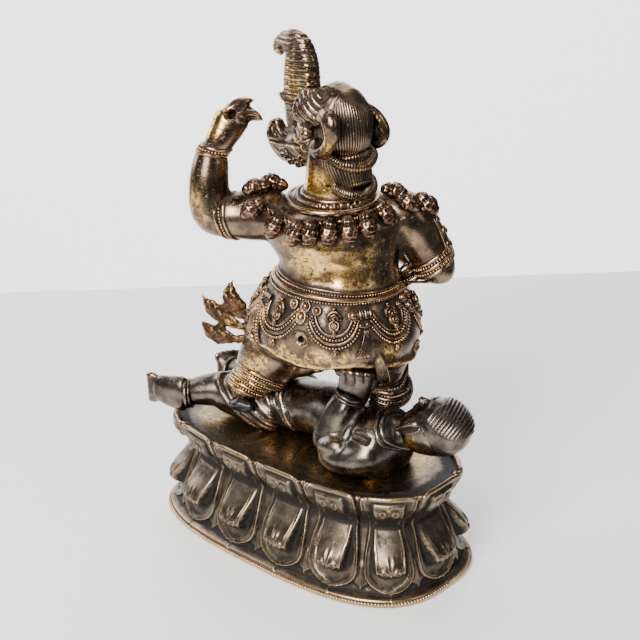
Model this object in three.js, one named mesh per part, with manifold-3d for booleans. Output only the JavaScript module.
// A gilt bronze figure: an animal-headed deity kneels on a man who lies on his back on a double
// lotus base. The base, the lying man and the deity are three castings, and two lumps of dark
// putty, an old repair, bed the deity's knees on the man below.
//
// Millimetres, +Z up. The origin is the middle of the flat underside of the base. X runs along the
// base, from the lying man's head (-X) to his feet (+X). The deity looks roughly towards -Y, so
// the back of the group is on the +Y side.
import * as THREE from "three";
import { ParametricGeometry } from "three/addons/geometries/ParametricGeometry.js";
import { mergeVertices } from "three/addons/utils/BufferGeometryUtils.js";
import Module from "manifold-3d";

const wasm = await Module();
wasm.setup();

// Driving dimensions of the lotus base.
const BASE_HEIGHT = 38;
const FOOT_HALF = [60, 32.6]; // half length and half width where the base stands
const RIM_HALF = [58.2, 27.6]; // the same at the upper rim
const OUTLINE_POWER = 2.81; // 2 is an ellipse, more is squarer
const PETALS = 14;
const FLOOR = 36.5; // height of the plate that the lying man rests on
const GAP = 0.3; // between two castings
const KNEE_ROOM = 1.2; // round the knees, where the man and the putty are hollowed for them

// Driving dimensions of the deity.
const BODY_CENTRE = [-7, -6];
const HIP_TURN = 18; // degrees from -Y towards +X that the hips face
const CHEST_TURN = 40;
const HEAD_TURN = 88;
const SWAGS = 8;
const GARLAND_HEADS = 18;
const PIN_HOLE_RADIUS = 1;

const RAD = Math.PI / 180;
const at = (x, y, z) => new THREE.Vector3(x, y, z);
const mix = (a, b, t) => a + (b - a) * t;
const clamp = (t) => Math.min(1, Math.max(0, t));
const smooth = (t) => clamp(t) ** 2 * (3 - 2 * clamp(t));

// Value of a row of numbers at t from 0 to 1, eased between neighbours.
function along(row, t) {
  const place = clamp(t) * (row.length - 1);
  const i = Math.min(Math.floor(place), row.length - 2);
  return mix(row[i], row[i + 1], smooth(place - i));
}

// One closed body from a geometry: shared corners merged, collapsed triangles dropped.
function solid(geometry) {
  geometry.deleteAttribute("normal");
  geometry.deleteAttribute("uv");
  const merged = mergeVertices(geometry, 1e-3);
  const index = merged.index.array;
  const kept = [];
  for (let i = 0; i < index.length; i += 3) {
    const [a, b, c] = [index[i], index[i + 1], index[i + 2]];
    if (a !== b && b !== c && a !== c) kept.push(a, b, c);
  }
  const build = (list) =>
    new wasm.Manifold(
      new wasm.Mesh({
        numProp: 3,
        vertProperties: new Float32Array(merged.attributes.position.array),
        triVerts: new Uint32Array(list),
      }),
    );
  const made = build(kept);
  return made.volume() < 0 ? build(kept.reverse()) : made;
}

const surface = (point, across, up) =>
  solid(new ParametricGeometry((u, v, out) => out.copy(point(u, v)), across, up));

const join = (pieces) => pieces.reduce((whole, piece) => whole.add(piece));

// The largest body of a solid, without the hair-thin slivers that grazing faces leave.
const largest = (whole) => whole.decompose().sort((a, b) => b.volume() - a.volume())[0];

// A limb: round sections strung on a smooth line, each with its radius, closed by round ends.
// "flat" is the second radius over the first, and "up" is the direction of that second radius.
// A higher "blunt" makes the ends flatter.
function limb(points, radii, look = {}) {
  const { sides = 6, rings = 5, flat = 1, up = at(0, 0, 1), blunt = 6 } = look;
  const line = new THREE.CatmullRomCurve3(points.map((p) => at(...p)));
  return surface(
    (u, v) => {
      const bend = -Math.cos(Math.PI * v);
      const t = (1 + bend) / 2;
      const radius = along(radii, t) * Math.sqrt(1 - Math.abs(bend) ** blunt);
      const ahead = line.getTangent(t);
      const side = ahead.clone().cross(up).normalize();
      const over = side.clone().cross(ahead);
      return line
        .getPoint(t)
        .addScaledVector(side, radius * Math.cos(2 * Math.PI * u))
        .addScaledVector(over, radius * flat * Math.sin(2 * Math.PI * u));
    },
    sides,
    rings,
  );
}

// An egg shape with three radii, turned about Z by "turn" degrees.
function egg(centre, radii, { turn = 0, sides = 7, rings = 4 } = {}) {
  const geometry = new THREE.SphereGeometry(1, sides, rings)
    .rotateX(Math.PI / 2)
    .scale(...radii)
    .rotateZ(turn * RAD)
    .translate(...centre);
  return solid(geometry);
}

// A ring round a limb: its centre, the limb's direction there, and the ring's radius.
function ringRound(centre, direction, radius, thick, { steps = 8, sides = 3 } = {}) {
  const geometry = new THREE.TorusGeometry(radius, thick, sides, steps);
  const turn = new THREE.Quaternion().setFromUnitVectors(at(0, 0, 1), at(...direction).normalize());
  return solid(geometry.applyQuaternion(turn).translate(...centre));
}

// Local directions of a part of the body that is turned by "turn" degrees: left, back and up.
function frame(centre, turn) {
  const [c, s] = [Math.cos(turn * RAD), Math.sin(turn * RAD)];
  return (left, back, z) => [centre[0] + c * left - s * back, centre[1] + s * left + c * back, z];
}

// The lotus base: one closed skin whose outline is a squared oval and whose profile draws in to a
// waist between two rows of petals. Each petal carries a raised square block.
function outline(half, share) {
  const steps = 720;
  const point = (i) => {
    const angle = (i / steps) * 2 * Math.PI;
    const power = 2 / OUTLINE_POWER;
    return [Math.cos, Math.sin].map(
      (f, k) => half[k] * Math.sign(f(angle)) * Math.abs(f(angle)) ** power,
    );
  };
  const lengths = [0];
  for (let i = 1; i <= steps; i++) {
    const [a, b] = [point(i - 1), point(i)];
    lengths.push(lengths[i - 1] + Math.hypot(b[0] - a[0], b[1] - a[1]));
  }
  const wanted = (((share % 1) + 1) % 1) * lengths[steps];
  const i = Math.max(1, lengths.findIndex((length) => length >= wanted));
  const t = (wanted - lengths[i - 1]) / (lengths[i] - lengths[i - 1]);
  const [a, b] = [point(i - 1), point(i)];
  return { x: mix(a[0], b[0], t), y: mix(a[1], b[1], t), tangent: [b[0] - a[0], b[1] - a[1]] };
}

function lotusBase() {
  // Columns across one petal, from one valley to the next, close together at the block's sides.
  const columns = [-1, -0.5, -0.38, 0.38, 0.5];
  // Rows up the profile: height, inset from the outline, petal relief, block relief, tip width.
  const rows = [
    [0, 0.2, 0, 0, 1],
    [2.4, 0, 0, 0, 1],
    [3.4, 3, 0.4, 0, 0.2],
    [6.5, 3.6, 1, 0, 0.55],
    [9, 4.2, 1, 0.2, 0.85],
    [9.8, 4.4, 1, 4.4, 0.9],
    [14, 5.2, 1, 5, 1],
    [20, 7.4, 0.8, 3.6, 1],
    [24.5, 8.4, 0.6, 1, 1],
    [29, 5.4, 1, 0.3, 1],
    [29.8, 4.8, 1, 2.6, 1],
    [35.2, 1.6, 0.8, 1.4, 0.7],
    [BASE_HEIGHT, 0.4, 0, 0, 1],
    [BASE_HEIGHT, 1.9, 0, 0, 1],
    [FLOOR, 2.3, 0, 0, 1],
  ];
  const across = columns.length * PETALS;
  const ring = (column, [z, inset, petal, block, tip]) => {
    const place = column % across;
    const phi = columns[place % columns.length];
    const share = (Math.floor(place / columns.length) + phi / 2) / PETALS;
    const [low, high] = [outline(FOOT_HALF, share), outline(RIM_HALF, share)];
    const up = z / BASE_HEIGHT;
    const inPetal = smooth((tip * 1.05 - Math.abs(phi)) / 0.25);
    const out = (Math.abs(phi) < 0.4 ? block : 0) + petal * inPetal - inset;
    const length = Math.hypot(...low.tangent);
    return at(
      mix(low.x, high.x, up) + (low.tangent[1] / length) * out,
      mix(low.y, high.y, up) - (low.tangent[0] / length) * out,
      z,
    );
  };
  const last = rows.length + 1;
  return surface(
    (u, v) => {
      const row = Math.round(v * last);
      if (row === 0) return at(0, 0, 0);
      if (row === last) return at(0, 0, FLOOR);
      return ring(Math.round(u * across), rows[row - 1]);
    },
    across,
    last,
  );
}

// The deity's body from the skirt's hem to the neck: oval sections that turn from the hips' facing
// to the chest's. Each row is height, half width, half depth, and the middle's move left and back.
const BODY = [
  [67, 20, 16.5, 0, -2],
  [71, 27, 23, 0, -1],
  [77, 29.3, 25.5, 0, 0],
  [85, 28, 24.8, 0, 0],
  [93, 22.8, 21, -0.4, 0],
  [94, 23.8, 22, -0.6, 0],
  [98.2, 21.6, 19.4, -1.8, 0],
  [98.8, 20, 17.6, -2.2, 0],
  [103, 19.9, 17, -2.4, 0],
  [110, 22.7, 17.4, -1.4, 0],
  [116, 24.5, 16, -1, 0],
  [120.4, 20.6, 13.2, -0.6, 0],
  [121.2, 16.2, 13, 0, 0],
  [123.4, 15.4, 12.2, 0, 0],
  [124, 12, 9.4, 0, 0],
];

function bodyRow(z) {
  const next = BODY.findIndex((row) => row[0] >= z);
  const i = Math.max(1, next < 0 ? BODY.length - 1 : next);
  const t = (z - BODY[i - 1][0]) / (BODY[i][0] - BODY[i - 1][0]);
  return BODY[i].map((value, k) => mix(BODY[i - 1][k], value, clamp(t)));
}

const turnAt = (z) => mix(HIP_TURN, CHEST_TURN, smooth((z - 88) / 24));

// A point on the body's skin: degrees from the middle of the back towards the deity's right, a
// height, and how far it stands off the skin.
function onBody(degrees, z, off = 0) {
  const [, width, depth, left, back] = bodyRow(z);
  const angle = degrees * RAD;
  return frame(BODY_CENTRE, turnAt(z))(
    left - (width + off) * Math.sin(angle),
    back + (depth + off) * Math.cos(angle),
    z,
  );
}

function torso() {
  const sides = 16;
  const last = BODY.length + 1;
  return surface(
    (u, v) => {
      const row = Math.round(v * last);
      const z = BODY[Math.min(last - 2, Math.max(0, row - 1))][0];
      if (row === 0 || row === last) {
        const [, , , left, back] = bodyRow(z);
        return at(...frame(BODY_CENTRE, turnAt(z))(left, back, z + (row ? 0.3 : -0.3)));
      }
      return at(...onBody(u * 360, z));
    },
    sides,
    last,
  );
}

const head = frame([-9, -8.5], HEAD_TURN); // (left, back, z)
const chest = frame([-9, -8], CHEST_TURN);
const hips = frame(BODY_CENTRE, HIP_TURN);

// The knees that rest on the lying man, "grow" larger where they are cut out of their neighbours.
const KNEES = { left: [21.5, 7, 53], right: [-27.5, -10.5, 59] };
const knee = (side, grow = 0) =>
  egg(KNEES[side], [7.2, 7.2, 6.8].map((r) => r + grow), { sides: 8, rings: 5 });

function legs() {
  const heel = { left: hips(5, 2, 63.6), right: hips(-4, 1, 63) };
  const hip = { left: hips(15, 0, 75), right: hips(-16, 2, 74) };
  return ["left", "right"].flatMap((side) => {
    const k = KNEES[side];
    const middle = hip[side].map((value, i) => mix(value, k[i], 0.55));
    const top = [k[0], k[1], k[2] + 1.5];
    const inward = heel[side].map((value, i) => mix(top[i], value, 0.5) + (i === 2 ? 2 : 0));
    return [
      limb([hip[side], middle, top], [12, 11.5, 7.5], { sides: 7, rings: 4, up: at(0, 1, 0) }),
      knee(side),
      limb([top, inward, heel[side]], [5, 4.4, 4.2], { sides: 6, rings: 4 }),
      ringRound(k, [0.15, 0.1, 1], 6.8, 1),
    ];
  });
}

// Eight looped strings under the belt, with a drop in each loop and, between them, by turns a
// flower of stones and a tassel.
function skirtOrnaments() {
  const pieces = [];
  const pitch = 360 / SWAGS;
  for (let i = 0; i < SWAGS; i++) {
    const middle = (i + 0.5) * pitch;
    const joint = i * pitch;
    const string = [-1, -0.6, 0, 0.6, 1].map((k) =>
      onBody(middle + (k * pitch) / 2.2, 82 + 10 * k * k, 0.7),
    );
    const tassel = [92, 85, 78].map((z) => onBody(joint, z, 0.9));
    pieces.push(
      limb(string, [1.4, 1.8, 1.4], { sides: 3, rings: 4, blunt: 12 }),
      egg(onBody(middle, 88.5, 0.8), [1.9, 1.6, 3.6], { turn: HIP_TURN, sides: 4, rings: 3 }),
      i % 2 === 0
        ? egg(onBody(joint, 91.4, 0.8), [3.4, 3.4, 2.8], { turn: HIP_TURN, sides: 5, rings: 4 })
        : limb(tassel, [2.4, 1.4, 2], { sides: 3, rings: 3 }),
    );
  }
  return pieces;
}

// The flat flame-shaped end that stands out from the left hip, cut from sheet bronze.
function flame() {
  const sheet = new THREE.Shape();
  sheet.moveTo(22, 80.5);
  sheet.quadraticCurveTo(30, 79, 32.2, 82);
  sheet.quadraticCurveTo(31.5, 88, 34.1, 91.6);
  sheet.quadraticCurveTo(38, 88, 36.8, 84);
  sheet.quadraticCurveTo(40, 80, 42, 82);
  sheet.quadraticCurveTo(46, 82.5, 46.8, 85.2);
  sheet.quadraticCurveTo(48, 80, 41.5, 78);
  sheet.quadraticCurveTo(44, 77.5, 47.7, 75.2);
  sheet.quadraticCurveTo(48, 71, 43.5, 71);
  sheet.quadraticCurveTo(44, 68, 42, 67.4);
  sheet.quadraticCurveTo(34, 67, 22, 70.5);
  const thick = 2.4;
  const look = { depth: thick, bevelEnabled: false, curveSegments: 2 };
  const geometry = new THREE.ExtrudeGeometry(sheet, look);
  geometry.rotateX(Math.PI / 2).translate(0, 6 + thick / 2, 0);
  geometry.rotateZ(HIP_TURN * RAD).translate(...BODY_CENTRE, 0);
  return solid(geometry);
}

// The garland of small severed heads: across the back, over both shoulders and down the front.
function garland() {
  const pieces = [];
  for (let i = 0; i < GARLAND_HEADS; i++) {
    const angle = ((i + 0.5) / GARLAND_HEADS) * 360 - 180;
    const turn = Math.abs(angle);
    const overShoulder = smooth((turn - 45) / 20) * (1 - smooth((turn - 80) / 25));
    const z = mix(turn < 90 ? 115.8 : 107, 121, overShoulder) - 8 * smooth((turn - 120) / 60);
    const middle = onBody(angle, z, 1.8);
    pieces.push(egg(middle, [2.7, 2.8, 3.8], { turn: CHEST_TURN + angle, sides: 4, rings: 3 }));
  }
  return pieces;
}

// The head of the animal: a domed skull, a blunt muzzle with an upright trunk on it, a curled
// lower lip, thick brows and ears, and hair combed back into two rolls on the nape.
function headPieces() {
  // The upright trunk of the animal, as the distance back and the height of each point.
  const snout = [
    [-8, 146],
    [-13.5, 155],
    [-14.5, 163],
    [-14.5, 168],
    [-17, 172],
    [-21, 170.5],
    [-20.5, 166],
  ];
  const neck = [head(0, 0, 118), head(0, 0.5, 128), head(0, 0, 136), head(0, -1, 148)];
  const lip = [head(0, -6, 135), head(0, -14, 134), head(0, -22, 138), head(0, -24, 145)];
  const pieces = [
    limb(neck, [12.5, 9.4, 9, 8], { sides: 8, up: at(0, 1, 0), blunt: 10 }),
    egg(head(0, 0.5, 147.5), [9.2, 10.6, 12.6], { turn: HEAD_TURN, sides: 8, rings: 6 }),
    limb([head(0, -3, 143), head(0, -10, 143), head(0, -16, 141)], [8.6, 8.2, 6]),
    limb(
      snout.map(([back, z]) => head(0, back, z)),
      [8.5, 7, 6, 5.4, 4.2, 3, 2],
      { sides: 7, rings: 8, up: at(0, 1, 0) },
    ),
    limb(lip, [6.5, 6, 4.4, 1.8], { flat: 0.6 }),
  ];
  [-1, 1].forEach((side) => {
    const mirrored = (row) => row.map(([left, back, z]) => head(side * left, back, z));
    const ear = mirrored([
      [7, 1, 155],
      [11, 3.5, 153],
      [12.5, 5.4, 146],
      [11.5, 2.6, 139.5],
      [8, -4, 137],
    ]);
    const brow = mirrored([
      [6, -5, 145],
      [7.4, -6.5, 151],
      [4.5, -7.5, 158],
    ]);
    pieces.push(
      limb(ear, [2.4, 3.2, 3.4, 3, 2.2], { sides: 5, up: at(1, 0, 0) }),
      egg(head(side * 7.6, -5, 142.5), [1.9, 2.2, 2.2], { sides: 5 }),
      limb(brow, [2.6, 3.4, 1.4], { sides: 4, rings: 4, up: at(0, 1, 0) }),
    );
  });
  // The two tiers of hair behind the neck, each ending in a roll that wraps round it.
  [[143, 135.5, 9.6], [134, 126.5, 9]].forEach(([top, low, half]) => {
    const arc = [-72, 0, 72].map((angle) =>
      head(-(half + 0.6) * Math.sin(angle * RAD), 6 + (half - 1.2) * Math.cos(angle * RAD), low),
    );
    const tier = [head(0, 6, top + 4), head(0, 7.5, (top + low) / 2), head(0, 7.5, low - 2)];
    pieces.push(
      limb(tier, [8, half, half], { rings: 4, flat: 0.75, up: at(-1, 0, 0), blunt: 8 }),
      limb(arc, [1.8, 2.2, 1.8], { sides: 4, rings: 5, blunt: 8 }),
    );
  });
  return pieces;
}

// The left arm is held out and bent up, its fist pierced for a lost attribute. The right arm is
// bent in front of the chest. Both wear armlets and bracelets.
function arms() {
  const leftArm = [
    [2, 2, 117],
    [9.5, 8, 117.5],
    [17, 14, 117],
    [22.5, 18.5, 118.5],
    [22.8, 18.8, 127],
    [21.5, 16, 138],
    [20.8, 15, 142],
  ];
  const leftFist = [
    [21.2, 15.6, 138],
    [20.8, 14.6, 143],
    [19, 12, 152],
  ];
  const lowerFinger = [
    [17.8, 11, 149.6],
    [14.5, 7.5, 150.5],
    [11, 3.5, 147],
  ];
  const upperFinger = [
    [18.4, 11, 151.4],
    [16.5, 8.5, 153.5],
    [13.8, 5, 153.6],
  ];
  const heldRod = [
    [26, 24, 151],
    [18.3, 10.8, 149.8],
    [10.6, -2.4, 148.6],
  ];
  const rightElbow = [-31.6, -29, 97.4];
  const rightArm = [
    [-16, -14, 117],
    [-25.5, -21.5, 115.5],
    [-30, -26, 106],
    rightElbow,
    [-31, -29.4, 92.5],
  ];
  const rightFore = [rightElbow, chest(-18, -21, 100), chest(-8, -24, 104), chest(0, -24.5, 108)];
  const armletJewel = [
    [-35, -28.6, 102],
    [-36.4, -28.6, 108],
    [-34.6, -26.6, 116],
  ];
  const fist = join([
    limb(leftFist, [5, 6, 5.2], { flat: 0.8, up: at(-0.6, 0.8, 0) }),
    limb(lowerFinger, [2.6, 2, 0.8], { sides: 5, rings: 4 }),
    limb(upperFinger, [2.6, 1.8, 0.8], { sides: 5, rings: 4 }),
  ]);
  const rod = limb(heldRod, [1.4, 1.4, 1.4], { rings: 3, blunt: 30 });
  return [
    limb(leftArm, [9, 9.2, 7.5, 7.5, 6.6, 5.4, 5], { rings: 9, up: at(1, -1, 0.4) }),
    ringRound([15.4, 12.7, 117], [0.8, 0.62, 0], 7.4, 1.2),
    ringRound([21.7, 16.4, 136.8], [-0.1, -0.15, 1], 5.2, 1.2),
    limb(rightArm, [8, 8.6, 7.6, 7, 6], { rings: 6, up: at(1, 0, 0) }),
    limb(rightFore, [6, 5.4, 4.6, 4.4], { rings: 4 }),
    egg(chest(0, -25, 108), [5.6, 4.4, 5], { turn: CHEST_TURN }),
    ringRound([-31, -27.8, 101.6], [0.18, 0.2, 1], 7.2, 1.2),
    limb(armletJewel, [2.4, 3, 0.6], { sides: 5, rings: 4 }),
    fist.subtract(rod),
  ];
}

function breasts() {
  return [-1, 1].map((side) =>
    limb(
      [chest(side * 11, -9, 112), chest(side * 13.5, -15.5, 102), chest(side * 12.5, -18.5, 91)],
      [5, 5.2, 2.2],
      { sides: 5, rings: 4, up: at(0, 1, 0) },
    ),
  );
}

function deity() {
  const belly = egg(hips(1, -11, 101), [17, 15, 12], { turn: 26, sides: 8, rings: 5 });
  const whole = join([
    torso(),
    belly,
    ...legs(),
    ...skirtOrnaments(),
    ...garland(),
    ...headPieces(),
    ...arms(),
    ...breasts(),
    flame(),
  ]);
  // The hole for a pin at the middle of the seat.
  const pin = limb(
    [-9, -3, 3].map((off) => onBody(0, 82.5, off)),
    [PIN_HOLE_RADIUS, PIN_HOLE_RADIUS, PIN_HOLE_RADIUS],
    { sides: 8, rings: 4, blunt: 30 },
  );
  return whole.subtract(pin).subtract(lyingHand(GAP));
}

// The lying man's left hand, which holds the deity up from below.
function lyingHand(grow = 0) {
  const grown = (radii) => radii.map((r) => r + grow);
  const palm = [
    [-23.6, 5, 57],
    [-25.5, 4, 66],
    [-26.5, 3.4, 72],
  ];
  const thumb = [
    [-26, 0.5, 62],
    [-30.6, -2.2, 68],
    [-31.5, -3, 73.5],
  ];
  return join([
    limb(palm, grown([4.6, 6, 6]), { flat: 0.62, up: at(-0.685, 0.728, 0), blunt: 10 }),
    limb(thumb, grown([2.2, 1.9, 1.5]), { sides: 5, rings: 4 }),
  ]);
}

// The lying man's trunk and thighs, which the putty rests on.
function lyingTrunk(grow = 0) {
  const grown = (radii) => radii.map((r) => r + grow);
  const spine = [
    [-42, 0.5, 44.5],
    [-33, 0.5, 44.5],
    [-22, -0.8, 45],
    [-8, -3, 47.6],
    [6, -3.4, 45.5],
    [20, -4.5, 44.5],
  ];
  const nearThigh = [
    [8, 1.2, 44],
    [24, 4, 44],
    [40, 8.4, 46],
  ];
  const farThigh = [
    [8, -9.2, 44],
    [24, -11, 44.5],
    [40, -12, 46],
  ];
  const look = { sides: 8, rings: 8, flat: 0.88, blunt: 8 };
  return [
    limb(spine, grown([12.5, 14, 12.6, 10.8, 10.4, 11.5]), look),
    limb(nearThigh, grown([8, 7.6, 6.8])),
    limb(farThigh, grown([8, 7.6, 6.8])),
  ];
}

function lyingHead() {
  const mid = [-50, -8.4, 53];
  const shift = (x, y, z) => [mid[0] + x, mid[1] + y, mid[2] + z];
  const neck = [
    [-34, 0, 48],
    [-41, -3.5, 50],
    [-46, -6, 52],
  ];
  const nose = [shift(0.5, 0, 7.5), shift(3.6, 0, 10.2), shift(5.6, 0, 7.5)];
  return [
    limb(neck, [7, 5.8, 6], { rings: 4 }),
    egg(mid, [11, 9.4, 9.6], { sides: 9, rings: 6 }),
    egg(shift(6, 0, 2.5), [6, 6.4, 6.6]),
    limb(nose, [1, 1.5, 1.7], { sides: 4, rings: 3 }),
    ...[-1, 1].map((side) => egg(shift(3, side * 8.4, 1), [2, 1.6, 3.2], { sides: 5, rings: 4 })),
  ];
}

function lyingFeet() {
  const nearShin = [
    [34, 6, 46.5],
    [40, 10.5, 46],
    [47.5, 16.4, 44.6],
  ];
  const nearFoot = [
    [45, 15.6, 44.5],
    [51, 18, 44.6],
    [60.6, 21.4, 46],
  ];
  const farShin = [
    [34, -12, 46],
    [43, -11.5, 44.5],
    [52, -11, 42.6],
  ];
  const farFoot = [
    [50, -11, 39.4],
    [52, -11.6, 44],
    [54, -12.6, 51],
  ];
  return [
    limb(nearShin, [6.8, 5.8, 4.2], { sides: 7 }),
    limb(nearFoot, [3.8, 3, 2.4], { flat: 1.9, blunt: 10 }),
    limb(farShin, [6.6, 5.4, 4], { sides: 7 }),
    limb(farFoot, [3.4, 2.8, 2.4], { flat: 1.8, up: at(-0.3, 1, 0), blunt: 10 }),
  ];
}

function lyingArms() {
  const nearUpper = [
    [-36, 7, 46],
    [-24, 11, 43.5],
    [-9, 11, 42.4],
  ];
  const nearFore = [
    [-11, 12, 38],
    [-17.4, 9, 49.6],
    [-24.4, 5.6, 61.5],
  ];
  const farUpper = [
    [-36, -7, 46],
    [-26, -13, 43.5],
    [-12, -16.5, 42],
  ];
  const farFore = [
    [-18, -15, 43],
    [-4, -17, 41.5],
    [7, -16, 41.5],
  ];
  return [
    limb(nearUpper, [6.6, 6.2, 6.2]),
    limb(nearFore, [6.4, 5.4, 4.8]),
    limb(farUpper, [6.6, 5.6, 5], { sides: 7 }),
    limb(farFore, [5, 4.4, 4], { rings: 4 }),
  ];
}

function lyingMan() {
  const whole = join([
    ...lyingTrunk(),
    ...lyingHead(),
    ...lyingFeet(),
    ...lyingArms(),
    lyingHand(),
    ringRound([3, -3, 45.6], [1, 0.05, 0], 10, 1.1, { steps: 12 }),
  ]);
  // His back is flat where it lies on the floor plate, and his belly is hollowed for the knees.
  const below = new THREE.BoxGeometry(160, 90, 40).translate(0, 0, FLOOR + GAP - 20);
  const hollows = join([knee("left", KNEE_ROOM), knee("right", KNEE_ROOM)]);
  return whole.subtract(solid(below)).subtract(hollows);
}

// Putty that an old repair left under each knee, on the side of the man's back.
function putty(side) {
  const [x, y, z] = KNEES[side];
  const drop = side === "left" ? 5.4 : 4.6;
  const lump = egg([x - 1, y + 5.4, z - drop], [6.4, 4, 3], { turn: -20, sides: 7, rings: 5 });
  return lump.subtract(knee(side, GAP + KNEE_ROOM)).subtract(join(lyingTrunk(GAP)));
}

const finishes = {
  base: { color: 0x4a3d31, roughness: 0.42, metalness: 0.85 },
  man: { color: 0x463a30, roughness: 0.4, metalness: 0.85 },
  deity: { color: 0x6b4c2a, roughness: 0.38, metalness: 0.9 },
  putty: { color: 0x14171c, roughness: 0.25, metalness: 0 },
};

const figure = new THREE.Group();

function place(name, made, finish) {
  const { vertProperties, triVerts, numProp } = made.getMesh();
  const corners = new Float32Array((vertProperties.length / numProp) * 3);
  for (let i = 0; i < corners.length / 3; i++) {
    corners.set(vertProperties.subarray(i * numProp, i * numProp + 3), i * 3);
  }
  const geometry = new THREE.BufferGeometry()
    .setAttribute("position", new THREE.BufferAttribute(corners, 3))
    .setIndex(new THREE.BufferAttribute(triVerts, 1));
  const mesh = new THREE.Mesh(geometry, new THREE.MeshStandardMaterial(finish));
  mesh.name = name;
  figure.add(mesh);
}

place("lotus_base", lotusBase(), finishes.base);
place("lying_man", largest(lyingMan()), finishes.man);
place("deity_figure", largest(deity()), finishes.deity);
place("left_knee_putty", largest(putty("left")), finishes.putty);
place("right_knee_putty", largest(putty("right")), finishes.putty);

export default figure;
